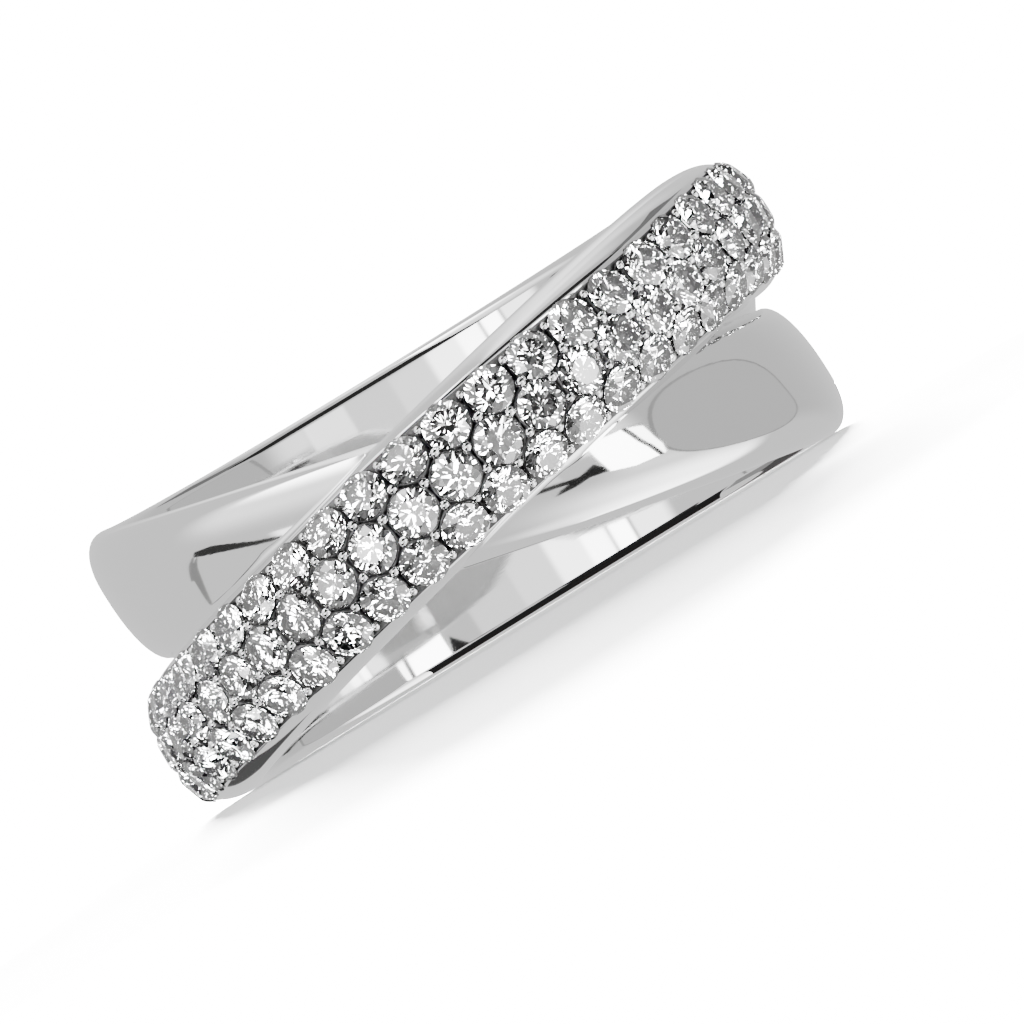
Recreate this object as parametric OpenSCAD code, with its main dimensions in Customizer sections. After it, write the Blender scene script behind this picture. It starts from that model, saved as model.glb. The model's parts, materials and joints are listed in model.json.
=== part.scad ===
// Crossover ring, lying on its side: a plain polished band and a paved band cross at the crown,
// run on beside each other at the ends and merge into one plain shank at the back.
// Millimetres. The finger's axis is +Z, the lowest rim is on z = 0 and the crown looks toward -Y.

/* [Ring] */
// Inner diameter of the ring
finger_d = 17.3; // [14:0.1:22]
// Height of the whole ring along the finger
ring_h = 8; // [7.4:0.1:9]
// Width of each of the two bands
band_w = 3.85; // [3.6:0.05:4.2]
// Rounding of the two inner edges
comfort_r = 0.3; // [0.2:0.05:0.4]

/* [Plain band] */
// Thickness of the plain band at its crest
plain_t = 1.1; // [1:0.05:1.3]
// How far the plain band's crest leans outward at the ends
plain_lean = 0.5; // [0:0.05:0.6]
// Fullness of the plain band's dome, where 2 is an ellipse
plain_full = 2.3; // [2:0.1:2.8]

/* [Paved band] */
// Thickness of the paved band at its crest
paved_t = 1.9; // [1.8:0.05:2.2]
// How far the paved band's crest leans outward at the ends
paved_lean = 0.25; // [0:0.05:0.4]
// Fullness of the paved band's dome, where 2 is an ellipse
paved_full = 2.6; // [2.4:0.1:3.2]

/* [Paving] */
// Angle from the crown at which the paving stops, on both sides
paving_end = 105; // [95:1:110]
// Depth of the seat that is cut into the paved band
seat_depth = 0.65; // [0.4:0.05:0.7]
// Gap between the paving and its seat
seat_gap = 0.05; // [0.03:0.01:0.08]

/* [Shank] */
// Thickness of the shank at the back
shank_t = 1.35; // [1.2:0.05:1.5]
// Fullness of the shank's dome
shank_full = 2.4; // [2:0.1:3]

/* [Hidden] */

// Edges of the paving, from the middle of its band, against the angle from the crown.
// It keeps to the low side where the band climbs on the right, which leaves a wide polished strip.
paving_lower = [[-105, -1.58], [-60, -1.62], [0, -1.7], [25, -1.78], [48, -1.8], [80, -1.7], [105, -1.6]];
paving_upper = [[-105, 1.6], [-60, 1.62], [0, 1.65], [25, 1.42], [48, 1.25], [80, 1.55], [105, 1.6]];

finger_r = finger_d / 2;
side_h = 0.3;           // height of the upright side of a band, where its dome starts
crossing = (ring_h - band_w) / 2;
turn_step = 5;          // degrees from one section to the next
merge_start = 110;      // the bands start to merge here, counted from the crown
merge_end = 168;        // and are one shank from here on
rounding_turns = [25, 52, 80];
flank_rows = 6;         // section points from a rounded edge up to the foot of the paved band
wall_rows = 2;          // section points on the paved band's polished strip
dome_rows = 9;          // section points across the paving
first_turn = 4;         // where a dome's lowest section point lies, in degrees
foot_turn = 28;         // where the paved band's own foot lies when the plain band is behind it
end_wall = 0.4;         // degrees taken by the wall at each end of the seat
bite = 0.35;            // how far the raw section reaches into the finger hole before it is bored

function smooth(x) = let (c = min(1, max(0, x))) c * c * (3 - 2 * c);
function mix(p, q, w) = p * (1 - w) + q * w;

// The middle of the paved band, which the plain band mirrors. It crosses over in a slanting plane.
function path(turn) = crossing * (abs(turn) < 90 ? sin(turn) : sign(turn));
function crest_lean(turn) = abs(turn) < 90 ? sin(turn) : sign(turn);

// A dome is [lower edge, upper edge, crest, thickness, fullness].
function paved_dome(turn, inset = 0) = [
    path(turn) - band_w / 2 + inset,
    path(turn) + band_w / 2 - inset,
    path(turn) + paved_lean * crest_lean(turn),
    paved_t - inset,
    paved_full
];
function plain_dome(turn) = [
    -path(turn) - band_w / 2,
    -path(turn) + band_w / 2,
    -path(turn) - plain_lean * crest_lean(turn),
    plain_t,
    plain_full
];
shank_dome = [-ring_h / 2, ring_h / 2, 0, shank_t, shank_full];

// A point [along the finger, above the finger hole] at an angle from a dome's lower edge
function dome_point(dome, angle) = let (
    across = cos(angle),
    reach = across > 0 ? dome[0] - dome[2] : dome[1] - dome[2]
) [
    dome[2] + reach * pow(abs(across), 2 / dome[4]),
    side_h + (dome[3] - side_h) * pow(abs(sin(angle)), 2 / dome[4])
];
// The height of a dome at a place along the finger
function dome_height(dome, along) = let (
    reach = along < dome[2] ? dome[2] - dome[0] : dome[1] - dome[2],
    part = min(1, abs(along - dome[2]) / reach)
) side_h + (dome[3] - side_h) * pow(1 - pow(part, dome[4]), 1 / dome[4]);
// The place along the finger of a dome's lower (-1) or upper (1) wall at a height
function wall_at(dome, side, height) = let (
    part = min(1, max(0, (height - side_h) / (dome[3] - side_h))),
    reach = side < 0 ? dome[0] - dome[2] : dome[1] - dome[2]
) dome[2] + reach * pow(1 - pow(part, dome[4]), 1 / dome[4]);
// The angle of a dome at a place along the finger, counted from the side given
function angle_at(dome, side, along) = let (
    reach = along < dome[2] ? dome[2] - dome[0] : dome[1] - dome[2],
    across = pow(min(1, abs(along - dome[2]) / reach), dome[4] / 2)
) acos((along - dome[2]) * side > 0 ? across : -across);

// The angle at which the plain dome runs into the paved band's wall
function foot_angle(turn, side) = let (
    over = paved_dome(turn),
    under = plain_dome(turn),
    edge = side < 0 ? over[0] : over[1],
    first = wall_at(over, side, dome_height(under, edge)),
    meet = wall_at(over, side, dome_height(under, first))
) -path(turn) * side > path(turn) * side
    ? max(foot_turn, angle_at(under, side, meet)) : foot_turn;

// From a rounded edge over what shows of the plain band to the paved band's foot
function flank(turn, side) = let (
    over = paved_dome(turn),
    under = plain_dome(turn),
    last = foot_angle(turn, side)
) [
    for (row = [0 : flank_rows - 1]) let (
        angle = first_turn + (last - first_turn) * row / (flank_rows - 1),
        spot = dome_point(under, side < 0 ? angle : 180 - angle),
        wall = wall_at(over, side, spot[1])
    ) [side < 0 ? min(spot[0], wall) : max(spot[0], wall), spot[1]]
];
// The dome's angles at the two edges of the paving
function paving_span(turn) = let (over = paved_dome(turn)) [
    angle_at(over, -1, path(turn) + lookup(turn, paving_lower)),
    180 - angle_at(over, 1, path(turn) + lookup(turn, paving_upper))
];
// Up the paved band's polished strip, from its foot to the paving's edge
function strip(turn, side) = let (
    over = paved_dome(turn),
    foot = flank(turn, side)[flank_rows - 1][1],
    top = dome_point(over, paving_span(turn)[side < 0 ? 0 : 1])[1]
) [
    for (row = [1 : wall_rows + 1]) let (height = foot + (top - foot) * row / (wall_rows + 1))
        [wall_at(over, side, height), height]
];
// Across the paving's seat, or across the full dome where there is no seat
function seat(turn, inset) = let (
    over = paved_dome(turn, inset),
    span = paving_span(turn),
    first = inset > 0 ? 0 : 1
) [
    for (row = [first : first + dome_rows - 1])
        dome_point(over, mix(span[0], span[1], row / (dome_rows - 1 + 2 * first)))
];
function backward(list) = [for (i = [len(list) - 1 : -1 : 0]) list[i]];

// The crossing bands' outline from low to high, and the shank's with as many points
function crossed(turn, inset) = concat(
    flank(turn, -1),
    strip(turn, -1),
    seat(turn, inset),
    backward(strip(turn, 1)),
    backward(flank(turn, 1))
);
outline_rows = 2 * flank_rows + 2 * (wall_rows + 1) + dome_rows;
shank_outline = [
    for (row = [0 : outline_rows - 1])
        dome_point(shank_dome, first_turn + (180 - 2 * first_turn) * row / (outline_rows - 1))
];

// The rounded inner edge, from inside the hole outward
function inner_edge(turn, side) = let (
    edge = side * (min(ring_h / 2, abs(path(turn)) + band_w / 2))
) concat(
    [[edge - side * (comfort_r + bite), -bite]],
    [for (a = rounding_turns) [edge - side * comfort_r * (1 - sin(a)), comfort_r * (1 - cos(a))]]
);
function section(turn, inset) = let (
    merged = smooth((abs(turn) - merge_start) / (merge_end - merge_start)),
    bands = crossed(turn, inset)
) concat(
    inner_edge(turn, -1),
    [for (row = [0 : outline_rows - 1]) mix(bands[row], shank_outline[row], merged)],
    backward(inner_edge(turn, 1))
);

// A section point in space, at an angle from the crown toward +X
function placed(spot, turn) = [
    (finger_r + spot[1]) * sin(turn),
    -(finger_r + spot[1]) * cos(turn),
    ring_h / 2 + spot[0]
];

// Faces of a sleeve over rings of points, closed on itself or capped at its two ends
function sleeve(rings, rows, closed) = concat(
    [
        for (r = [0 : rings - (closed ? 1 : 2)], c = [0 : rows - 1], half = [0, 1]) let (
            near = r * rows,
            far = ((r + 1) % rings) * rows,
            next = (c + 1) % rows
        ) half == 0 ? [near + c, far + c, far + next] : [near + c, far + next, near + next]
    ],
    closed ? [] : [
        for (c = [0 : rows / 2 - 2], half = [0, 1]) let (twin = rows - 1 - c)
            half == 0 ? [c, c + 1, twin - 1] : [c, twin - 1, twin]
    ],
    closed ? [] : [
        for (c = [0 : rows / 2 - 2], half = [0, 1]) let (twin = rows - 1 - c, last = (rings - 1) * rows)
            half == 0 ? [last + c, last + twin - 1, last + c + 1] : [last + c, last + twin, last + twin - 1]
    ]
);

// Every section is [angle from the crown, depth of the seat there].
paved_turns = [for (t = [-paving_end : turn_step : paving_end]) t];
body_sections = concat(
    [for (t = paved_turns) [t, seat_depth]],
    [[paving_end + end_wall, 0]],
    [for (t = [paving_end + turn_step : turn_step : 360 - paving_end - turn_step])
        [t <= 180 ? t : t - 360, 0]],
    [[-paving_end - end_wall, 0]]
);

module ring_body() {
    rings = [for (s = body_sections) [for (p = section(s[0], s[1])) placed(p, s[0])]];
    color("Silver")
    difference() {
        polyhedron(
            points = [for (ring = rings, p = ring) p],
            faces = sleeve(len(rings), len(rings[0]), true),
            convexity = 4
        );
        translate([0, 0, -1])
        cylinder(d = finger_d, h = ring_h + 2, $fn = 180);
    }
}

// The paving as one shell: its face follows the dome and its back follows the seat.
module paving() {
    side_turn = 2;
    end_turn = 0.4;
    turns = [for (t = paved_turns) t * (paving_end - end_turn) / paving_end];
    rings = [for (t = turns) let (
        span = paving_span(t) + [side_turn, -side_turn],
        angles = [for (row = [0 : dome_rows - 1]) mix(span[0], span[1], row / (dome_rows - 1))]
    ) [for (p = concat(
        [for (a = angles) dome_point(paved_dome(t), a)],
        [for (a = backward(angles)) dome_point(paved_dome(t, seat_depth - seat_gap), a)]
    )) placed(p, t)]];
    color("White")
    polyhedron(
        points = [for (ring = rings, p = ring) p],
        faces = sleeve(len(rings), len(rings[0]), false),
        convexity = 4
    );
}

ring_body();
paving();
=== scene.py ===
"""A crossover ring on a pale table: polished white gold, with three rows of brilliants on one band.

Lengths are millimetres inside each section and are turned to metres where a mesh is finished.
Along is the place along the finger, height is measured outward from the finger hole, and turn is
the angle from the crown, where the bands cross, toward +X.
"""

import json
import math
import random
from collections import namedtuple

import bmesh
import bpy
from mathutils import Matrix, Quaternion, Vector


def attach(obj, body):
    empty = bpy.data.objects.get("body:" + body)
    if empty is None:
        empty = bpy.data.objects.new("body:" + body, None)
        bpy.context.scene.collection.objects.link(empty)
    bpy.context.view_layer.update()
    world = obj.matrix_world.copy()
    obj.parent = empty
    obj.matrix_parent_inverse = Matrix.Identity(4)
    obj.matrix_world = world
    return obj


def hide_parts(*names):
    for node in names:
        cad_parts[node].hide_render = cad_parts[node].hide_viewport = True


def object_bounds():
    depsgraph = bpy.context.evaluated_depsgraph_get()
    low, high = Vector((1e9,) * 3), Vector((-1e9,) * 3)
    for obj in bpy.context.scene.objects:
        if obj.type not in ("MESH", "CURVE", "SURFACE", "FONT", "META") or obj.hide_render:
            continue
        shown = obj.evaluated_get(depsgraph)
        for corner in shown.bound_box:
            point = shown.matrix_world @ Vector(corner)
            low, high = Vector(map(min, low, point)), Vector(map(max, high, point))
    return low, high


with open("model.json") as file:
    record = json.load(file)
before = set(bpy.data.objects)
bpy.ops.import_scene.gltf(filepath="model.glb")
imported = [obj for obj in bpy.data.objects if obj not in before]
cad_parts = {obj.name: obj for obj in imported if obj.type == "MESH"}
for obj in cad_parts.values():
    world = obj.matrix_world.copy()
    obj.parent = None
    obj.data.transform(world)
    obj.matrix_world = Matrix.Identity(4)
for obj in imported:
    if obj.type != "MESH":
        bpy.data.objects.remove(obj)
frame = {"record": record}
cad_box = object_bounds()
scene = bpy.context.scene
MM = 0.001

# Camera. It stands before the crown with a long lens, a little to the right of it and just above
# the table, and is tipped so that the finger hole's axis leans to the right in the picture.
LOOK_TURN = 8.4
LOOK_LIFT = -0.7
CAMERA_TIP = 31.6
CAMERA_DISTANCE = 218.6
FRAME_WIDTH = 27.2
AIM_RIGHT = 1.22
AIM_UP = -0.78
SENSOR = 36

ring_h = (cad_box[1][2] - cad_box[0][2]) / MM
ring_middle = Vector((0, 0, ring_h / 2))


def toward(turn, lift):
    """A unit vector from the ring to a place around it, at an angle above the table."""
    side = math.radians(turn)
    up = math.radians(lift)
    return Vector((math.sin(side) * math.cos(up), -math.cos(side) * math.cos(up), math.sin(up)))


def tipped(back):
    """The turn of a camera that looks against this vector and is tipped on its side."""
    return back.to_track_quat("Z", "Y") @ Quaternion((0, 0, 1), math.radians(-CAMERA_TIP))


stand = ring_middle + toward(LOOK_TURN, LOOK_LIFT) * CAMERA_DISTANCE
square_on = tipped(toward(LOOK_TURN, LOOK_LIFT))
aim = ring_middle + square_on @ Vector((AIM_RIGHT, AIM_UP, 0))
camera = bpy.data.objects.new("camera", bpy.data.cameras.new("camera"))
camera.data.sensor_width = SENSOR
camera.data.lens = SENSOR * CAMERA_DISTANCE / FRAME_WIDTH
camera.data.clip_start = MM
camera.location = stand * MM
camera.rotation_mode = "QUATERNION"
camera.rotation_quaternion = tipped((stand - aim).normalized())
scene.collection.objects.link(camera)
scene.camera = camera

# Ring body. Both bands and the shank are one casting of 14 carat white gold, filed and polished,
# and plated bright. Lengths are in millimetres and turns in degrees. A doughnut is spun, and each of
# its points is moved to its place on the ring.
FINGER_R = frame["record"]["mounts"][0]["dims"]["r_mm"]
BAND_W = 3.85
COMFORT_R = 0.3
SIDE_H = 0.3
PAVED_T = 1.9
PAVED_LEAN = 0.25
PAVED_FULL = 2.6
PLAIN_T = 1.1
PLAIN_LEAN = 0.5
PLAIN_FULL = 2.3
SHANK_T = 1.35
SHANK_FULL = 2.4
PAVING_END = 105
SEAT_DEPTH = 0.65
MERGE_START = 110
MERGE_END = 168
TURN_STEPS = 480
BORE_ROWS = 8
ROUNDING_ROWS = 6
FLANK_ROWS = 22
STRIP_ROWS = 6
SEAT_ROWS = 14
FOOT_TURN = 28
SHARP_EDGE = 32
EDGE_ROUNDING = (-6, -3, 0, 3, 6)
crossing = (ring_h - BAND_W) / 2

# The paving's edges, measured along the finger from the middle of the paved band. They keep to the
# low side where the band climbs on the right, which leaves a wide polished strip above them.
EdgePlace = namedtuple("EdgePlace", "turn low high")
PAVING_EDGES = [
    EdgePlace(-105, -1.58, 1.6),
    EdgePlace(-60, -1.62, 1.62),
    EdgePlace(0, -1.7, 1.65),
    EdgePlace(25, -1.78, 1.42),
    EdgePlace(48, -1.8, 1.25),
    EdgePlace(80, -1.7, 1.55),
    EdgePlace(105, -1.6, 1.6),
]
Dome = namedtuple("Dome", "low high crest thick full")


def smooth(share):
    inside = min(1, max(0, share))
    return inside * inside * (3 - 2 * inside)


def mix(first, last, share):
    return first * (1 - share) + last * share


def swing(turn):
    """From -1 at the left end over 0 at the crown to 1 at the right end."""
    return math.sin(math.radians(turn)) if abs(turn) < 90 else math.copysign(1, turn)


def paved_dome(turn, inset=0):
    middle = crossing * swing(turn)
    low = middle - BAND_W / 2 + inset
    high = middle + BAND_W / 2 - inset
    return Dome(low, high, middle + PAVED_LEAN * swing(turn), PAVED_T - inset, PAVED_FULL)


def plain_dome(turn):
    middle = -crossing * swing(turn)
    low = middle - BAND_W / 2
    high = middle + BAND_W / 2
    return Dome(low, high, middle - PLAIN_LEAN * swing(turn), PLAIN_T, PLAIN_FULL)


def dome_point(dome, angle):
    """The point (along, height) of a dome at an angle from its low edge."""
    across = math.cos(math.radians(angle))
    reach = (dome.low if across > 0 else dome.high) - dome.crest
    rise = abs(math.sin(math.radians(angle))) ** (2 / dome.full)
    along = dome.crest + reach * abs(across) ** (2 / dome.full)
    return along, SIDE_H + (dome.thick - SIDE_H) * rise


def dome_height(dome, along):
    reach = dome.crest - dome.low if along < dome.crest else dome.high - dome.crest
    part = min(1, abs(along - dome.crest) / reach)
    return SIDE_H + (dome.thick - SIDE_H) * (1 - part**dome.full) ** (1 / dome.full)


def wall_at(dome, side, height):
    """Where the dome's low (-1) or high (1) side is at this height."""
    part = min(1, max(0, (height - SIDE_H) / (dome.thick - SIDE_H)))
    reach = (dome.low if side < 0 else dome.high) - dome.crest
    return dome.crest + reach * (1 - part**dome.full) ** (1 / dome.full)


def angle_at(dome, side, along):
    """The dome's angle at a place along the finger, counted from the side given."""
    reach = dome.crest - dome.low if along < dome.crest else dome.high - dome.crest
    across = min(1, abs(along - dome.crest) / reach) ** (dome.full / 2)
    return math.degrees(math.acos(across if (along - dome.crest) * side > 0 else -across))


def foot_angle(turn, side):
    """The angle at which the plain dome runs into the paved band's wall."""
    if swing(turn) * side >= 0:
        return FOOT_TURN
    over = paved_dome(turn)
    under = plain_dome(turn)
    edge = over.low if side < 0 else over.high
    first = wall_at(over, side, dome_height(under, edge))
    meet = wall_at(over, side, dome_height(under, first))
    return max(FOOT_TURN, angle_at(under, side, meet))


def flank(turn, side):
    """From the rounded edge over what shows of the plain band to the paved band's foot."""
    over = paved_dome(turn)
    under = plain_dome(turn)
    last = foot_angle(turn, side)
    spots = []
    for row in range(1, FLANK_ROWS + 1):
        angle = last * row / FLANK_ROWS
        along, height = dome_point(under, angle if side < 0 else 180 - angle)
        wall = wall_at(over, side, height)
        spots.append((min(along, wall) if side < 0 else max(along, wall), height))
    return spots


def paving_edge(turn, side):
    """Where the paving ends along the finger, with the corners between the edges' places eased."""
    total = 0
    for shift in EDGE_ROUNDING:
        at = min(PAVING_END, max(-PAVING_END, turn + shift))
        for here, there in zip(PAVING_EDGES, PAVING_EDGES[1:]):
            if here.turn <= at <= there.turn:
                share = (at - here.turn) / (there.turn - here.turn)
                total += mix(getattr(here, side), getattr(there, side), share)
                break
    return crossing * swing(turn) + total / len(EDGE_ROUNDING)


def paving_span(turn):
    """The paved dome's angles at the low and the high edge of the paving."""
    over = paved_dome(turn)
    low = angle_at(over, -1, paving_edge(turn, "low"))
    high = 180 - angle_at(over, 1, paving_edge(turn, "high"))
    return low, high


def strip(turn, side):
    """Up the polished strip of the paved band, from its foot to the paving's edge."""
    over = paved_dome(turn)
    foot = flank(turn, side)[-1][1]
    top = dome_point(over, paving_span(turn)[0 if side < 0 else 1])[1]
    spots = []
    for row in range(1, STRIP_ROWS + 1):
        height = mix(foot, top, row / STRIP_ROWS)
        spots.append((wall_at(over, side, height), height))
    return spots


def seat(turn, inset):
    """Across the floor of the paving's seat, or across the full dome where there is none."""
    low, high = paving_span(turn)
    over = paved_dome(turn, inset)
    spare = 0 if inset else 1
    spots = []
    for row in range(SEAT_ROWS):
        share = (row + spare) / (SEAT_ROWS - 1 + 2 * spare)
        spots.append(dome_point(over, mix(low, high, share)))
    return spots


def section(turn):
    """One closed slice through the ring, up its outside from low to high and down its bore."""
    inset = SEAT_DEPTH if abs(turn) <= PAVING_END else 0
    bands = flank(turn, -1) + strip(turn, -1) + seat(turn, inset)
    bands += strip(turn, 1)[::-1] + flank(turn, 1)[::-1]
    shank = Dome(-ring_h / 2, ring_h / 2, 0, SHANK_T, SHANK_FULL)
    merged = smooth((abs(turn) - MERGE_START) / (MERGE_END - MERGE_START))
    outside = []
    for row, (along, height) in enumerate(bands):
        plain = dome_point(shank, 180 * (row + 1) / (len(bands) + 1))
        outside.append((mix(along, plain[0], merged), mix(height, plain[1], merged)))
    edge = min(ring_h / 2, abs(crossing * swing(turn)) + BAND_W / 2)
    low_edge = []
    for row in range(ROUNDING_ROWS + 1):
        corner = math.radians(90 * row / ROUNDING_ROWS)
        low_edge.append((-edge + COMFORT_R * (1 - math.sin(corner)), COMFORT_R * (1 - math.cos(corner))))
    high_edge = [(-along, height) for along, height in low_edge[::-1]]
    bore = []
    for row in range(1, BORE_ROWS):
        bore.append((mix(edge - COMFORT_R, COMFORT_R - edge, row / BORE_ROWS), 0))
    return low_edge + outside + high_edge + bore


def placed(spot, turn):
    """A slice's spot in space, in millimetres."""
    along, height = spot
    side = math.radians(turn)
    reach = FINGER_R + height
    return Vector((reach * math.sin(side), -reach * math.cos(side), ring_h / 2 + along))


def finished(name, work, materials, flat=False):
    """Turns a bmesh in millimetres into an object that rides on the ring."""
    bmesh.ops.recalc_face_normals(work, faces=work.faces)
    bmesh.ops.scale(work, vec=(MM, MM, MM), verts=work.verts)
    for face in work.faces:
        face.smooth = not flat
    mesh = bpy.data.meshes.new(name)
    work.to_mesh(mesh)
    work.free()
    for material in materials:
        mesh.materials.append(material)
    piece = bpy.data.objects.new(name, mesh)
    scene.collection.objects.link(piece)
    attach(piece, "root")
    return piece


def linear(code):
    """An sRGB hex colour as linear red, green, blue and alpha."""
    channels = [int(code[k : k + 2], 16) / 255 for k in (1, 3, 5)]
    return [c / 12.92 if c <= 0.04045 else ((c + 0.055) / 1.055) ** 2.4 for c in channels] + [1]


def add(tree, kind, links=None, values=None, **settings):
    """Adds a node with its settings, its sockets' values and the outputs that feed it."""
    node = tree.nodes.new(kind)
    for name, value in settings.items():
        setattr(node, name, value)
    for name, value in (values or {}).items():
        node.inputs[name].default_value = value
    for name, socket in (links or {}).items():
        tree.links.new(socket, node.inputs[name])
    return node


def new_material(name):
    material = bpy.data.materials.new(name)
    material.use_nodes = True
    material.node_tree.nodes.clear()
    return material, material.node_tree


# Mirror polish on white gold with a rhodium plating: the eye gets a nearly clean mirror, a little
# dimmed, with a faint haze where the buff has passed. The hairlines run round the ring and are
# drawn coarser than real ones, so that they only just break the mirror up.
HAZE_SIZE = 1.6
HAIRLINE_SIZE = 0.05
HAIRLINE_DEPTH = 0.004
HAIRLINE_STRETCH = 0.08
white_gold, tree = new_material("polished_white_gold")
place = add(tree, "ShaderNodeTexCoord").outputs["Object"]
haze = add(
    tree, "ShaderNodeTexNoise", {"Vector": place}, {"Scale": 1 / (HAZE_SIZE * MM), "Detail": 3}
)
haze_roughness = add(
    tree, "ShaderNodeMapRange", {"Value": haze.outputs["Fac"]},
    {"From Min": 0.3, "From Max": 0.7, "To Min": 0.035, "To Max": 0.075},
)
along_only = add(
    tree, "ShaderNodeMapping", {"Vector": place},
    {"Scale": (HAIRLINE_STRETCH, HAIRLINE_STRETCH, 1)},
)
hairlines = add(
    tree, "ShaderNodeTexNoise", {"Vector": along_only.outputs["Vector"]},
    {"Scale": 1 / (HAIRLINE_SIZE * MM), "Detail": 2},
)
hairline_bump = add(
    tree, "ShaderNodeBump", {"Height": hairlines.outputs["Fac"]},
    {"Strength": 0.04, "Distance": HAIRLINE_DEPTH * MM},
)
metal = add(
    tree, "ShaderNodeBsdfPrincipled",
    {"Roughness": haze_roughness.outputs["Result"], "Normal": hairline_bump.outputs["Normal"]},
    {"Base Color": linear("#E9E9E9"), "Metallic": 1},
)
add(tree, "ShaderNodeOutputMaterial", {"Surface": metal.outputs["BSDF"]})

# The seat's floor is left as it is drilled and matt. Its dark tone is painted shade: it stands in for
# the shade under the stones, so the stones stand out against it. The drill's burrs mottle it.
BURR_SIZE = 0.12
painted_shade_gold, tree = new_material("drilled_gold_painted_shade")
place = add(tree, "ShaderNodeTexCoord").outputs["Object"]
burrs = add(
    tree, "ShaderNodeTexNoise", {"Vector": place}, {"Scale": 1 / (BURR_SIZE * MM), "Detail": 3}
)
shade_and_burr_tone = add(
    tree, "ShaderNodeMix", {"Factor": burrs.outputs["Fac"]},
    {"A": linear("#3C3C3C"), "B": linear("#808080")}, data_type="RGBA",
)
matt = add(
    tree, "ShaderNodeBsdfPrincipled", {"Base Color": shade_and_burr_tone.outputs["Result"]},
    {"Metallic": 1, "Roughness": 0.45},
)
add(tree, "ShaderNodeOutputMaterial", {"Surface": matt.outputs["BSDF"]})

# Inside the crown the buffing felt doesn't reach the corners, so the metal there keeps a satin
# finish, which spreads what the opposite side mirrors into it.
satin, tree = new_material("satin_white_gold")
brushed = add(
    tree, "ShaderNodeBsdfPrincipled", None,
    {"Base Color": linear("#E4E4E4"), "Metallic": 1, "Roughness": 0.42},
)
add(tree, "ShaderNodeOutputMaterial", {"Surface": brushed.outputs["BSDF"]})

# Where the satin and the drilled metal with its painted shade lie, and how far a face's middle may be
# from its surface
SATIN_END = 62
BORE_ROOM = 0.01
SEAT_EDGE_ROOM = 0.02
SEAT_END_ROOM = 0.5
SEAT_FLOOR = 0.3
SEAT_TOP_ROOM = 0.1

blank = bmesh.new()
slice_rows = len(section(0))
doughnut_r = 1
stand_up = Matrix.Translation((FINGER_R, 0, 0)) @ Matrix.Rotation(math.pi / 2, 4, "X")
bmesh.ops.create_circle(blank, segments=slice_rows, radius=doughnut_r, matrix=stand_up)
bmesh.ops.spin(
    blank, geom=blank.verts[:] + blank.edges[:], cent=(0, 0, 0), axis=(0, 0, 1),
    angle=2 * math.pi, steps=TURN_STEPS, use_merge=True,
)
slices = {}
for vert in blank.verts:
    x, y, z = vert.co
    step = round(math.atan2(x, -y) / (2 * math.pi) * TURN_STEPS)
    turn = step * 360 / TURN_STEPS
    row = round(math.atan2(z, math.hypot(x, y) - FINGER_R) / (2 * math.pi) * slice_rows)
    if turn not in slices:
        slices[turn] = section(turn)
    vert.co = placed(slices[turn][row % slice_rows], turn)
for edge in blank.edges:
    edge.smooth = edge.calc_face_angle(0) < math.radians(SHARP_EDGE)
for face in blank.faces:
    middle = face.calc_center_median()
    turn = math.degrees(math.atan2(middle.x, -middle.y))
    along = middle.z - ring_h / 2
    low = paving_edge(turn, "low")
    high = paving_edge(turn, "high")
    reach = math.hypot(middle.x, middle.y) - FINGER_R
    in_seat = low + SEAT_EDGE_ROOM < along < high - SEAT_EDGE_ROOM
    if abs(turn) < SATIN_END and reach < BORE_ROOM:
        face.material_index = 2
    elif abs(turn) < PAVING_END + SEAT_END_ROOM and in_seat:
        # the seat's floor under the stones takes the drilled metal's painted shade
        top = dome_height(paved_dome(turn), along)
        face.material_index = 1 if SEAT_FLOOR < reach < top - SEAT_TOP_ROOM else 0
ring = finished("cast_ring_body", blank, [white_gold, painted_shade_gold, satin])
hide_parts("ring_body")

# Stones. Each is a round brilliant of 1.3 mm, cut and polished on a lap, so every facet is a flat
# plane taken off a round blank. Of the three rows, the outer two are shifted half a stone along, and
# each stone is set square to the dome, give or take the few degrees that a setter leaves.
STONE_D = 1.31
STONE_PITCH = 1.42
EDGE_ROOM = 0.58
GIRDLE_SINK = 0.12
TILT = 4
SMALLEST = 0.985
DOME_SAMPLES = 40
SLOPE_REACH = 0.05
SLOPE_TURN = 0.5

# A stone's proportions, in parts of its diameter
GIRDLE_T = 0.03
TABLE_R = 0.285
TABLE_H = 0.148
CULET_DEPTH = 0.46
BLANK_DEPTH = 1.2
BLANK_SIDES = 32
CLOSE = 1e-5
# Facets: how many, the first one's angle round the stone, its slope, how far out it meets the
# girdle, and whether it is above (1) or below (-1)
Facet = namedtuple("Facet", "count first slope reach side")
FACETS = [
    Facet(8, 0, 34.5, 0.5, 1),
    Facet(16, 11.25, 41.1, 0.4904, 1),
    Facet(8, 0, 40.8, 0.5, -1),
    Facet(16, 11.25, 42.0, 0.4904, -1),
]
STAR_COUNT = 8
STAR_SLOPE = 21.5


def cut(work, point, normal):
    """Takes off what lies beyond a plane and closes the stone again with a flat facet."""
    parts = work.verts[:] + work.edges[:] + work.faces[:]
    result = bmesh.ops.bisect_plane(
        work, geom=parts, dist=CLOSE, plane_co=point, plane_no=normal, clear_outer=True
    )
    rim = [item for item in result["geom_cut"] if isinstance(item, bmesh.types.BMEdge)]
    if rim:
        bmesh.ops.edgeloop_fill(work, edges=rim)


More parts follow.
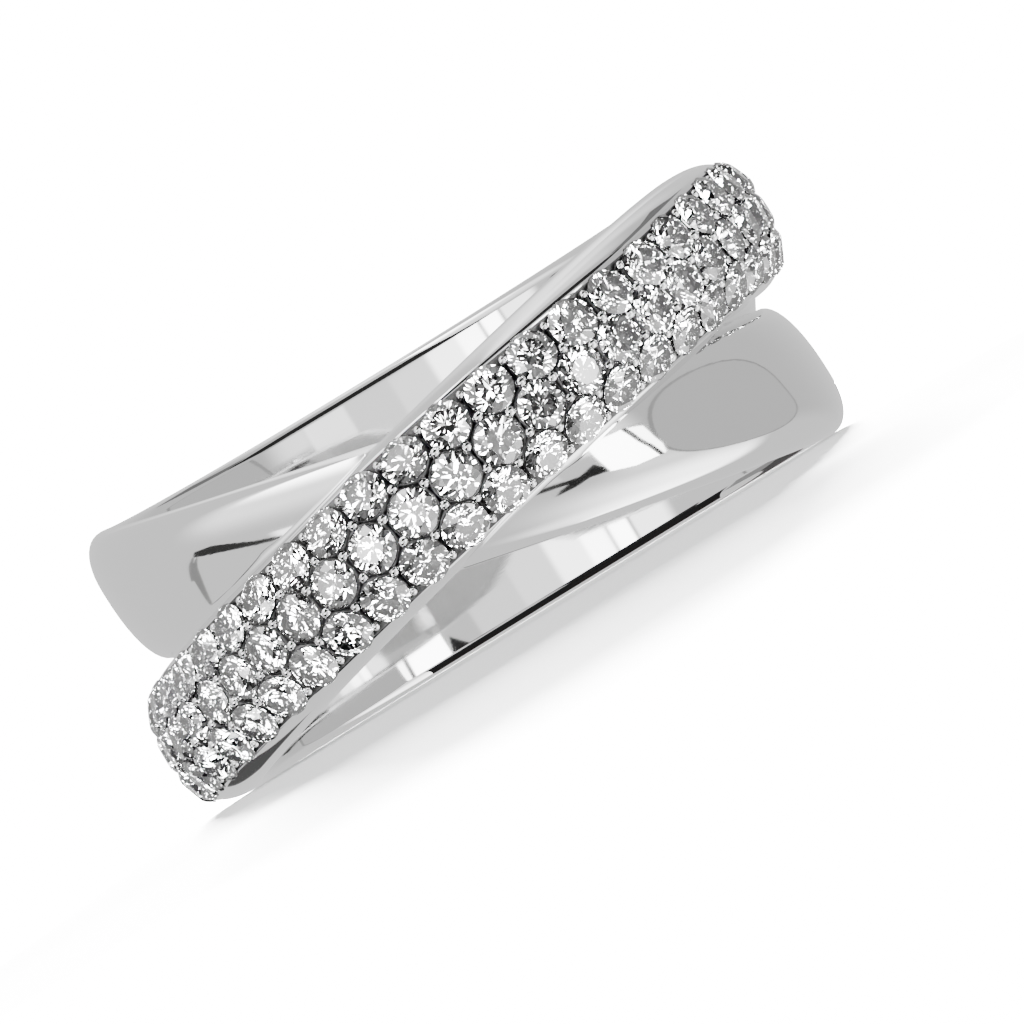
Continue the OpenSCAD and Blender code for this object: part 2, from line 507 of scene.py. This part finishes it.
def brilliant():
    """A stone one unit wide, with the girdle's middle at the origin and its table upward."""
    work = bmesh.new()
    bmesh.ops.create_cone(
        work, cap_ends=True, segments=BLANK_SIDES, radius1=0.5, radius2=0.5, depth=BLANK_DEPTH
    )
    table_height = GIRDLE_T / 2 + TABLE_H
    cut(work, Vector((0, 0, table_height)), Vector((0, 0, 1)))
    cut(work, Vector((0, 0, -CULET_DEPTH)), Vector((0, 0, -1)))
    for facet in FACETS:
        for k in range(facet.count):
            around = math.radians(facet.first + 360 * k / facet.count)
            slope = math.radians(facet.slope)
            out = Vector((math.cos(around), math.sin(around), 0))
            point = out * facet.reach + Vector((0, 0, facet.side * GIRDLE_T / 2))
            normal = out * math.sin(slope) + Vector((0, 0, facet.side * math.cos(slope)))
            cut(work, point, normal)
    half_star = 180 / STAR_COUNT
    star_reach = TABLE_R * math.cos(math.radians(half_star))
    for k in range(STAR_COUNT):
        around = math.radians(half_star + 2 * half_star * k)
        slope = math.radians(STAR_SLOPE)
        out = Vector((math.cos(around), math.sin(around), 0))
        point = out * star_reach + Vector((0, 0, table_height))
        cut(work, point, out * math.sin(slope) + Vector((0, 0, math.cos(slope))))
    mesh = bpy.data.meshes.new("brilliant")
    work.to_mesh(mesh)
    work.free()
    return mesh


def paving_arc(turn):
    """Distances across the paving from its low edge, each with the dome's angle there."""
    low, high = paving_span(turn)
    over = paved_dome(turn)
    arc = []
    walked = 0
    last = None
    for k in range(DOME_SAMPLES + 1):
        angle = mix(low, high, k / DOME_SAMPLES)
        spot = Vector(dome_point(over, angle))
        if last is not None:
            walked += (spot - last).length
        arc.append((walked, angle))
        last = spot
    return arc


def across_paving(turn, share, offset):
    """A point on the paving's dome, at a share of its width plus an offset in millimetres."""
    arc = paving_arc(turn)
    target = arc[-1][0] * share + offset
    for (near, first), (far, last) in zip(arc, arc[1:]):
        if near <= target <= far or far == arc[-1][0]:
            angle = mix(first, last, (target - near) / (far - near))
            break
    return placed(dome_point(paved_dome(turn), angle), turn)


# A row's place across the paving: the share of its width and what is added in millimetres
Row = namedtuple("Row", "share offset")
ROWS = {"low": Row(0, EDGE_ROOM), "middle": Row(0.5, 0), "high": Row(1, -EDGE_ROOM)}
Seat = namedtuple("Seat", "row step place up ahead")


def seat_at(row, turn, step):
    """Where a stone or bead sits: its point on the dome, the way up and the way along the band."""
    share, offset = row
    place = across_paving(turn, share, offset)
    ahead = across_paving(turn + SLOPE_TURN, share, offset)
    ahead = ahead - across_paving(turn - SLOPE_TURN, share, offset)
    sideways = across_paving(turn, share, offset + SLOPE_REACH)
    sideways = sideways - across_paving(turn, share, offset - SLOPE_REACH)
    up = ahead.cross(sideways).normalized()
    return Seat(row, step, place, up, ahead.normalized())


def seat_matrix(seat_here, sink, spin=0):
    """Stands something on the dome at a seat, sunk by a depth and spun about its own axis."""
    ahead = seat_here.ahead
    side = seat_here.up.cross(ahead)
    turned = Matrix((ahead, side, seat_here.up)).transposed().to_4x4()
    at = Matrix.Translation(seat_here.place - seat_here.up * sink)
    return at @ turned @ Matrix.Rotation(spin, 4, "Z")


def paved_steps():
    """Turns evenly spaced along the band, two to a stone's pitch: odd ones for the middle row's
    stones and even ones for the outer rows'."""
    fine = [k / 2 for k in range(-2 * PAVING_END, 2 * PAVING_END + 1)]
    walked = [0]
    for here, there in zip(fine, fine[1:]):
        step = across_paving(there, 0.5, 0) - across_paving(here, 0.5, 0)
        walked.append(walked[-1] + step.length)
    count = int(walked[-1] / STONE_PITCH)
    turns = []
    for half_step in range(2 * count + 1):
        target = walked[-1] * half_step / (2 * count)
        at = max(k for k in range(len(fine) - 1) if walked[k] <= target)
        share = (target - walked[at]) / (walked[at + 1] - walked[at])
        turns.append(mix(fine[at], fine[at + 1], share))
    return turns


def slant(turn):
    """The degrees by which a spot is turned for each millimetre it lies off the band's middle, so
    that the stones abreast of each other stand square to the climbing band."""
    if abs(turn) >= 90:
        return 0
    return math.degrees(crossing * math.cos(math.radians(turn)) / (FINGER_R + PAVED_T) ** 2)


half_turns = paved_steps()
arc_width = paving_arc(0)[-1][0]
outer_reach = arc_width / 2 - EDGE_ROOM
seats = []
for step, turn in enumerate(half_turns):
    shift = slant(turn) * outer_reach
    if step % 2 == 1:
        seats.append(seat_at(ROWS["middle"], turn, step))
    elif 0 < step < len(half_turns) - 1:
        seats.append(seat_at(ROWS["low"], turn + shift, step))
        seats.append(seat_at(ROWS["high"], turn - shift, step))

# Brilliants of clear diamond, cut and lapped: facets without any grain, very strong refraction, so
# each facet is white, grey or black as it catches a lamp, the room or the metal below.
diamond, tree = new_material("brilliant_cut_diamond")
glass = add(
    tree, "ShaderNodeBsdfPrincipled", None,
    {"Base Color": linear("#FCFCFC"), "Roughness": 0, "IOR": 2.42, "Transmission Weight": 1},
)
add(tree, "ShaderNodeOutputMaterial", {"Surface": glass.outputs["BSDF"]})

dice = random.Random(7)
master = brilliant()
work = bmesh.new()
for seat_here in seats:
    fresh = len(work.verts)
    work.from_mesh(master)
    work.verts.ensure_lookup_table()
    size = STONE_D * dice.uniform(SMALLEST, 1.0)
    stood = seat_matrix(seat_here, GIRDLE_SINK, dice.uniform(0, 2 * math.pi))
    tilt = Matrix.Rotation(math.radians(dice.uniform(-TILT, TILT)), 4, "X")
    bmesh.ops.transform(work, matrix=stood @ tilt @ Matrix.Scale(size, 4), verts=work.verts[fresh:])
stones = finished("brilliants", work, [diamond], flat=True)
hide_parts("paving")
bpy.data.meshes.remove(master)

# Setting. The metal between the stones: the rim of each drilled seat and, in the gaps and along both
# borders, beads raised with a graver and rounded with a beading tool, which hold the girdles down.
COLLAR_SINK = 0.15
OUTER_COLLAR_SINK = 0.23
OUTER_COLLAR_SIZE = 0.93
COLLAR_DEPTH = 0.5
COLLAR_R = 0.7
COLLAR_HOLE_R = 0.6
COLLAR_SIDES = 20
BEAD_R = 0.17
BEAD_TOP = 0.06
BEAD_POST = 0.25
BEAD_SIDES = 8
BEAD_RINGS = 6
BORDER_ROOM = 0.17
BORDER_BEAD_SIZE = 0.75
BORDER_BEAD_SINK = 0.09


def collar():
    """A short tube of metal below a stone's girdle, with its top at the origin."""
    work = bmesh.new()
    bmesh.ops.create_circle(work, segments=COLLAR_SIDES, radius=COLLAR_HOLE_R)
    bmesh.ops.create_circle(work, segments=COLLAR_SIDES, radius=COLLAR_R)
    bmesh.ops.bridge_loops(work, edges=work.edges[:])
    bmesh.ops.solidify(work, geom=work.faces[:], thickness=COLLAR_DEPTH)
    mesh = bpy.data.meshes.new("collar")
    work.to_mesh(mesh)
    work.free()
    return mesh


def bead():
    """A post with a rounded head, with the middle of the head at the origin."""
    work = bmesh.new()
    bmesh.ops.create_uvsphere(work, u_segments=BEAD_SIDES, v_segments=BEAD_RINGS, radius=BEAD_R)
    for vert in work.verts:
        if vert.co.z < -BEAD_R / 4:
            vert.co.z -= BEAD_POST
    mesh = bpy.data.meshes.new("bead")
    work.to_mesh(mesh)
    work.free()
    return mesh


def between(corners):
    """The seat in the middle of a few others."""
    place = sum((c.place for c in corners), Vector()) / len(corners)
    up = sum((c.up for c in corners), Vector()).normalized()
    lift = sum((c.place - place).dot(up) for c in corners) / len(corners)
    ahead = corners[0].ahead
    ahead = (ahead - up * ahead.dot(up)).normalized()
    return Seat(None, 0, place + up * lift, up, ahead)


border = []
for step, turn in enumerate(half_turns):
    shift = slant(turn) * outer_reach
    if step % 2 == 1:
        border.append(seat_at(Row(0, BORDER_ROOM), turn + shift, step))
        border.append(seat_at(Row(1, -BORDER_ROOM), turn - shift, step))

# A gap is what three stones enclose: two neighbours of one row and the one between them abreast.
by_step = {}
for seat_here in seats:
    by_step.setdefault(seat_here.step, []).append(seat_here)
gaps = []
for step in range(1, len(half_turns) - 1):
    before = by_step.get(step - 1, [])
    here = by_step.get(step, [])
    after = by_step.get(step + 1, [])
    for first in before:
        for last in after:
            if first.row == last.row:
                for third in here:
                    gaps.append(between([first, last, third]))

work = bmesh.new()
collar_mesh = collar()
bead_mesh = bead()
for seat_here in seats:
    fresh = len(work.verts)
    work.from_mesh(collar_mesh)
    work.verts.ensure_lookup_table()
    stood = seat_matrix(seat_here, COLLAR_SINK)
    if seat_here.row != ROWS["middle"]:
        stood = seat_matrix(seat_here, OUTER_COLLAR_SINK) @ Matrix.Scale(OUTER_COLLAR_SIZE, 4)
    bmesh.ops.transform(work, matrix=stood, verts=work.verts[fresh:])
# The collars under the stones take the drilled metal's painted shade.
for face in work.faces:
    face.material_index = 1
for gap in gaps + border:
    fresh = len(work.verts)
    work.from_mesh(bead_mesh)
    work.verts.ensure_lookup_table()
    stood = seat_matrix(gap, BEAD_R - BEAD_TOP)
    if gap.row is not None:
        stood = seat_matrix(gap, BORDER_BEAD_SINK) @ Matrix.Scale(BORDER_BEAD_SIZE, 4)
    bmesh.ops.transform(work, matrix=stood, verts=work.verts[fresh:])
setting = finished("bead_setting", work, [white_gold, painted_shade_gold])
bpy.data.meshes.remove(collar_mesh)
bpy.data.meshes.remove(bead_mesh)

# Table. A pale, matt sheet that the ring lies on. It is lit to white by its own lamps, and is left
# out of the reflections, where the light from below the ring comes from the room instead.
TABLE_SIZE = 3600
TABLE_GAP = 0.002


def stand_by(name, work, material):
    """Turns a bmesh in metres into something that stands round the ring and isn't part of it."""
    mesh = bpy.data.meshes.new(name)
    work.to_mesh(mesh)
    work.free()
    mesh.materials.append(material)
    thing = bpy.data.objects.new(name, mesh)
    scene.collection.objects.link(thing)
    return thing


# Uncoated paper: matt and even, with fibres that only just mottle its white. They are drawn far
# coarser than real ones, because the table is seen from afar.
FIBRE_SIZE = 0.8
paper, tree = new_material("matt_white_paper")
place = add(tree, "ShaderNodeTexCoord").outputs["Object"]
fibre = add(
    tree, "ShaderNodeTexNoise", {"Vector": place}, {"Scale": 1 / (FIBRE_SIZE * MM), "Detail": 2}
)
tone = add(
    tree, "ShaderNodeMix", {"Factor": fibre.outputs["Fac"]},
    {"A": linear("#F0F0F0"), "B": linear("#F4F4F4")}, data_type="RGBA",
)
sheet = add(
    tree, "ShaderNodeBsdfPrincipled", {"Base Color": tone.outputs["Result"]},
    {"Roughness": 0.9, "Specular IOR Level": 0},
)
add(tree, "ShaderNodeOutputMaterial", {"Surface": sheet.outputs["BSDF"]})
work = bmesh.new()
bmesh.ops.create_grid(work, x_segments=1, y_segments=1, size=TABLE_SIZE * MM / 2)
bmesh.ops.translate(work, vec=(0, 0, -TABLE_GAP * MM), verts=work.verts)
table = stand_by("table", work, paper)
table.visible_glossy = False
table.visible_transmission = False

# Light. The room is a pale tent with large soft boards in it, each a window of turn and lift with
# soft edges, and one grey wall, whose glow is taken off the tent's. Only the camera sees the tent
# as pure white.
TENT_GLOW = 1.08
TENT_SEEN = 18.0
BRIGHTEST_SPARK = 60
Board = namedtuple("Board", "turn_from turn_to lift_from lift_to rise fall lift_edge glow")
BOARDS = [
    # over the plain band on the left
    Board(-80, -8, 24, 110, 12, 6, 12, 1.3),
    Board(-71, -10, 62, 110, 5, 5, 18, 8.5),
    # under the plain band on the right
    Board(40, 107, -130, -28, 45, 7, 14, 4.2),
    Board(-10, 107, -130, -58, 15, 7, 12, 1.5),
    Board(48, 76, -20, -9, 10, 8, 4, 0.9),
    # behind the ring, over the paved band's upper strip
    Board(160, 200, 40, 110, 10, 1, 14, 1.0),
    Board(-200, -168, 25, 110, 1, 8, 12, 1.6),
    Board(120, 200, 58, 110, 12, 1, 8, 0.9),
    # a grey wall on the right
    Board(58, 155, -14, 78, 6, 25, 6, -0.25),
    # strip lights before the ring, in which the back of the finger hole is striped
    Board(-51, -36, -8.6, 9.4, 3, 0.7, 0.5, 3.4),
    Board(-34.5, -27, -8.6, 9.4, 0.7, 0.7, 0.5, 11),
    Board(-25.5, -16, -8.6, 9.4, 0.7, 1.2, 0.5, 9),
    Board(-16, -3, -8.6, 9.4, 1.2, 1.5, 0.5, 4.4),
    Board(-3, 13, -8.6, 9.4, 1.5, 1, 0.5, 1.1),
    Board(13, 32, -8.6, 9.4, 1, 1, 0.5, 0.6),
    Board(32, 49, 0, 9.4, 1, 1, 0.5, 1.9),
    Board(49, 64, 4.5, 9.4, 2, 6, 0.5, 1.3),
]
scene.cycles.sample_clamp_indirect = BRIGHTEST_SPARK
world = bpy.data.worlds.new("tent")
scene.world = world
world.use_nodes = True
tree = world.node_tree
tree.nodes.clear()
heading = add(tree, "ShaderNodeTexCoord").outputs["Generated"]
split = add(tree, "ShaderNodeSeparateXYZ", {"Vector": heading}).outputs
away = add(tree, "ShaderNodeMath", {0: split["Y"]}, {1: -1}, operation="MULTIPLY")
turn_angle = add(
    tree, "ShaderNodeMath", {0: split["X"], 1: away.outputs["Value"]}, operation="ARCTAN2"
)
lift_angle = add(tree, "ShaderNodeMath", {0: split["Z"]}, operation="ARCSINE")


def window(tree, angle, low, high, rise_edge, fall_edge, glow):
    """The glow between two angles in degrees, fading out over an edge on either side."""
    rise = add(
        tree, "ShaderNodeMapRange", {"Value": angle},
        {
            "From Min": math.radians(low - rise_edge),
            "From Max": math.radians(low + rise_edge),
            "To Max": glow,
        },
        interpolation_type="SMOOTHSTEP",
    )
    fall = add(
        tree, "ShaderNodeMapRange", {"Value": angle},
        {"From Min": math.radians(high + fall_edge), "From Max": math.radians(high - fall_edge)},
        interpolation_type="SMOOTHSTEP",
    )
    both = {0: rise.outputs["Result"], 1: fall.outputs["Result"]}
    return add(tree, "ShaderNodeMath", both, operation="MULTIPLY").outputs["Value"]


glow = add(tree, "ShaderNodeValue").outputs["Value"]
glow.default_value = TENT_GLOW
for board in BOARDS:
    wide = window(
        tree, turn_angle.outputs["Value"], board.turn_from, board.turn_to, board.rise, board.fall,
        board.glow,
    )
    high = window(
        tree, lift_angle.outputs["Value"], board.lift_from, board.lift_to, board.lift_edge,
        board.lift_edge, 1,
    )
    light = add(tree, "ShaderNodeMath", {0: wide, 1: high, 2: glow}, operation="MULTIPLY_ADD")
    glow = light.outputs["Value"]

# The stones gather light from all over the room, so they get lamps and dark corners of their own.
LAMP_CELLS = 2.0
LAMP_REACH = 0.42
LAMP_CORE = 0.8
LAMP_GLOW = 70
CORNER_CELLS = 3.5
WALL_GLOW = 0.3
CORNER_GLOW = 0.04
path = add(tree, "ShaderNodeLightPath").outputs
lamp_cells = add(tree, "ShaderNodeTexVoronoi", {"Vector": heading}, {"Scale": LAMP_CELLS})
lamp_rows = add(
    tree, "ShaderNodeMapRange", {"Value": lamp_cells.outputs["Distance"]},
    {"From Min": LAMP_REACH, "From Max": LAMP_REACH * LAMP_CORE, "To Min": 0, "To Max": LAMP_GLOW},
)
corners = add(
    tree, "ShaderNodeTexNoise", {"Vector": heading}, {"Scale": CORNER_CELLS, "Detail": 1}
)
corner_glow = add(
    tree, "ShaderNodeMapRange", {"Value": corners.outputs["Fac"]},
    {"From Min": 0.45, "From Max": 0.56, "To Min": CORNER_GLOW, "To Max": WALL_GLOW},
)
room = add(
    tree, "ShaderNodeMath",
    {0: lamp_rows.outputs["Result"], 1: corner_glow.outputs["Result"]}, operation="ADD",
)
gathered = add(
    tree, "ShaderNodeMix",
    {"Factor": path["Is Transmission Ray"], "A": glow, "B": room.outputs["Value"]},
)
strength = add(
    tree, "ShaderNodeMix", {"Factor": path["Is Camera Ray"], "A": gathered.outputs["Result"]},
    {"B": TENT_SEEN},
)
tent = add(
    tree, "ShaderNodeBackground", {"Strength": strength.outputs["Result"]}, {"Color": (1, 1, 1, 1)}
)
add(tree, "ShaderNodeOutputWorld", {"Surface": tent.outputs["Background"]})

# Cards. White and grey boards and black flags that stand round the ring, for its reflections only.
# Each is an outline of places given by turn and lift, with its brightness, and stands a step nearer
# than the one before, so that a later card covers an earlier one.
CARD_DISTANCE = 400
CARD_STEP = 10
OVAL_TURN = 97
OVAL_LIFT = -5
OVAL_POINTS = 40
Card = namedtuple("Card", "name glow outline")
CARDS = [
    Card("white_board", 14, [(46, -13), (46, 3), (59, 4), (62, -4), (63, -13), (54, -15)]),
    Card("white_strip", 10, [(61, 4), (66, 3), (67, -5), (66, -11), (65, -13), (64, -4)]),
    Card("black_line", 0.1, [(59, 4), (61, 4), (64, -4), (65, -13), (63, -13), (62, -4)]),
    Card(
        "black_wedge", 0.03,
        [(43.5, -4.5), (46, -9.4), (40, -12), (33, -16.5), (25, -19.5), (28.5, -15), (35, -10.5)],
    ),
    Card(
        "black_high_flag", 0.03,
        [
            (-36, 10.2), (-27, 20), (-17, 30), (-5, 57), (75, 54), (92, 38), (92, 30), (70, 19),
            (0, 17), (-18, 13),
        ],
    ),
    Card("grey_high_flag", 0.22, [(92, 31), (92, 47), (150, 45), (150, 31)]),
    Card(
        "black_tongue", 0.05,
        [
            (-83, 7.5), (-81, 10.5), (-73, 11.8), (-66, 10), (-58, 7.4), (-48, 6), (-48, 4.3),
            (-58, 4.9), (-66, 5.8), (-74, 6.6), (-79, 7),
        ],
    ),
    Card(
        "dark_cord", 0.35,
        [
            (-81, 9.5), (-86, 5), (-91, 0), (-93, -8), (-91.5, -8), (-89.5, 0), (-84.5, 4.5),
            (-80, 8.5),
        ],
    ),
    Card("dark_low_corner", 0.1, [(-165, -22), (-118, -18), (-118, -36), (-165, -38)]),
    Card("grey_low_corner", 0.35, [(-118, -15), (-86, -14), (-86, -34), (-118, -36)]),
]


def oval(wide, high):
    """An upright oval outline on the right of the ring."""
    around = [2 * math.pi * k / OVAL_POINTS for k in range(OVAL_POINTS)]
    return [(OVAL_TURN + wide * math.cos(a), OVAL_LIFT + high * math.sin(a)) for a in around]


CARDS.insert(0, Card("grey_disc_edge", 0.45, oval(31.3, 21)))
CARDS.append(Card("grey_disc", 0.76, oval(30, 20)))


def glowing(name, glow):
    """A flat white, grey or black that looks the same under any light."""
    material, tree = new_material(name)
    shine = add(tree, "ShaderNodeEmission", None, {"Color": (1, 1, 1, 1), "Strength": glow})
    add(tree, "ShaderNodeOutputMaterial", {"Surface": shine.outputs["Emission"]})
    return material


def stand_card(card, distance):
    """Stands a card up at this distance, where only the metal mirrors it."""
    work = bmesh.new()
    corners = []
    for turn, lift in card.outline:
        corners.append(work.verts.new((ring_middle + toward(turn, lift) * distance) * MM))
    bmesh.ops.contextual_create(work, geom=corners)
    board = stand_by(card.name, work, glowing(card.name, card.glow))
    board.visible_camera = False
    board.visible_diffuse = False
    board.visible_transmission = False
    board.visible_shadow = False


for k, card in enumerate(CARDS):
    stand_card(card, CARD_DISTANCE - CARD_STEP * k)

# A black flag hangs low before the ring in a row of widths, behind all the cards. In part it is painted
# shade: it stands in for the shaded table close under the ring, which the lower rounded edges mirror as
# a dark line. Each width goes from the flag's top down to the lift that is given with its turn.
LOW_FLAG_TOP = -9.4
Width = namedtuple("Width", "turn bottom")
LOW_FLAG = [
    Width(-65, -56),
    Width(-40, -56),
    Width(-24, -46),
    Width(-12, -32),
    Width(0, -18),
    Width(12, -12.5),
    Width(28, -12.5),
    Width(46, -12.5),
]
for here, there in zip(LOW_FLAG, LOW_FLAG[1:]):
    outline = [(here.turn, LOW_FLAG_TOP), (there.turn, LOW_FLAG_TOP), there, here]
    stand_card(Card("black_low_flag", 0.03, outline), CARD_DISTANCE + CARD_STEP)

# Contact shade. A black strip lies on the table under the back of the shank, where only the metal
# mirrors
# it. It is painted shade: it stands in for the shade where the ring rests on the table, and darkens the
# rounded edge that the ring rests on.
CONTACT_SHADE_R = (8.1, 8.75)
CONTACT_SHADE_TURN = 32
CONTACT_SHADE_STEPS = 60
CONTACT_SHADE_GLOW = 0.02
work = bmesh.new()
ends = [work.verts.new(Vector((0, r, TABLE_GAP)) * MM) for r in CONTACT_SHADE_R]
line = work.edges.new(ends)
to_start = Matrix.Rotation(math.radians(-CONTACT_SHADE_TURN), 3, "Z")
bmesh.ops.rotate(work, verts=ends, cent=(0, 0, 0), matrix=to_start)
bmesh.ops.spin(
    work, geom=[*ends, line], cent=(0, 0, 0), axis=(0, 0, 1),
    angle=math.radians(2 * CONTACT_SHADE_TURN), steps=CONTACT_SHADE_STEPS,
)
contact_shade = stand_by("contact_shade_strip", work, glowing("contact_shade_strip", CONTACT_SHADE_GLOW))
contact_shade.visible_camera = False
contact_shade.visible_diffuse = False
contact_shade.visible_shadow = False

# Table lamps. Two narrow ones stand low and side by side far behind the ring, so that it casts two
# shadows forward, one over the other. A weaker one above each softens them near the ring. They
# light the table only.
LAMP_DISTANCE = 2000
Lamp = namedtuple("Lamp", "name turn half_width lift_from lift_to power")
LAMPS = [
    Lamp("low_left_lamp", 191.6, 0.8, 2.9, 3.8, 9500),
    Lamp("low_right_lamp", 185.2, 0.8, 2.9, 3.8, 9500),
    Lamp("high_left_lamp", 191.6, 0.8, 3.8, 6.4, 1100),
    Lamp("high_right_lamp", 185.2, 0.8, 3.8, 6.4, 1100),
]
table_only = bpy.data.collections.new("lit_by_table_lamps")
table_only.objects.link(table)
for lamp in LAMPS:
    middle_lift = (lamp.lift_from + lamp.lift_to) / 2
    light = bpy.data.lights.new(lamp.name, "AREA")
    light.shape = "RECTANGLE"
    light.size = 2 * LAMP_DISTANCE * math.tan(math.radians(lamp.half_width)) * MM
    light.size_y = LAMP_DISTANCE * math.radians(lamp.lift_to - lamp.lift_from) * MM
    light.energy = lamp.power
    piece = bpy.data.objects.new(lamp.name, light)
    back = toward(lamp.turn, middle_lift)
    piece.location = back * LAMP_DISTANCE * MM
    piece.rotation_mode = "QUATERNION"
    piece.rotation_quaternion = back.to_track_quat("Z", "Y")
    piece.visible_camera = False
    piece.light_linking.receiver_collection = table_only
    scene.collection.objects.link(piece)
